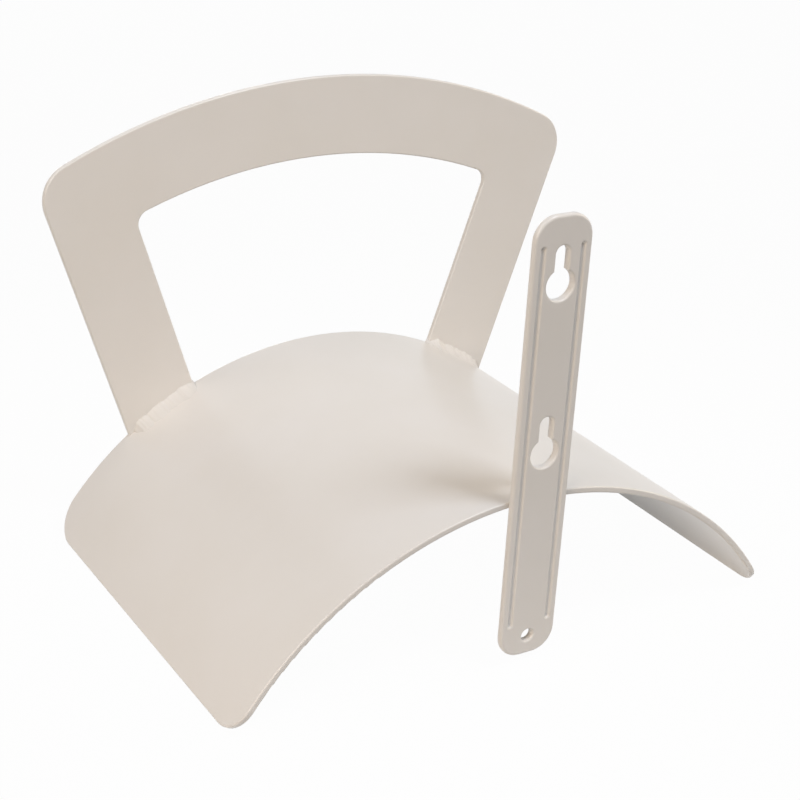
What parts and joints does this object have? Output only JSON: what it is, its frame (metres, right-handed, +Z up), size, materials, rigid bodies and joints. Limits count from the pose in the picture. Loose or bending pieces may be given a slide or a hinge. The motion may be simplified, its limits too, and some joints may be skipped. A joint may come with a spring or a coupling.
{
  "type": "hose hanger",
  "caption": "Wall-mounted garden hose hanger: an arched steel saddle with an open front guard plate and a keyhole wall strip.",
  "frame": {"origin": "on the wall strip's flat wall face, on its centre line, level with the crown of the saddle", "axes": "+Y away from the wall towards the guard, +Z up, +X to the right as seen from the wall"},
  "size_m": [0.2504, 0.1765, 0.1891],
  "materials": {
    "powder_coat": "smooth semi-gloss powder coat"
  },
  "bodies": {
    "root": {"saddle": "powder_coat", "guard": "powder_coat", "wall_strip": "powder_coat", "guard_weld_left": "powder_coat", "guard_weld_right": "powder_coat", "strip_weld": "powder_coat"}
  },
  "joints": []
}
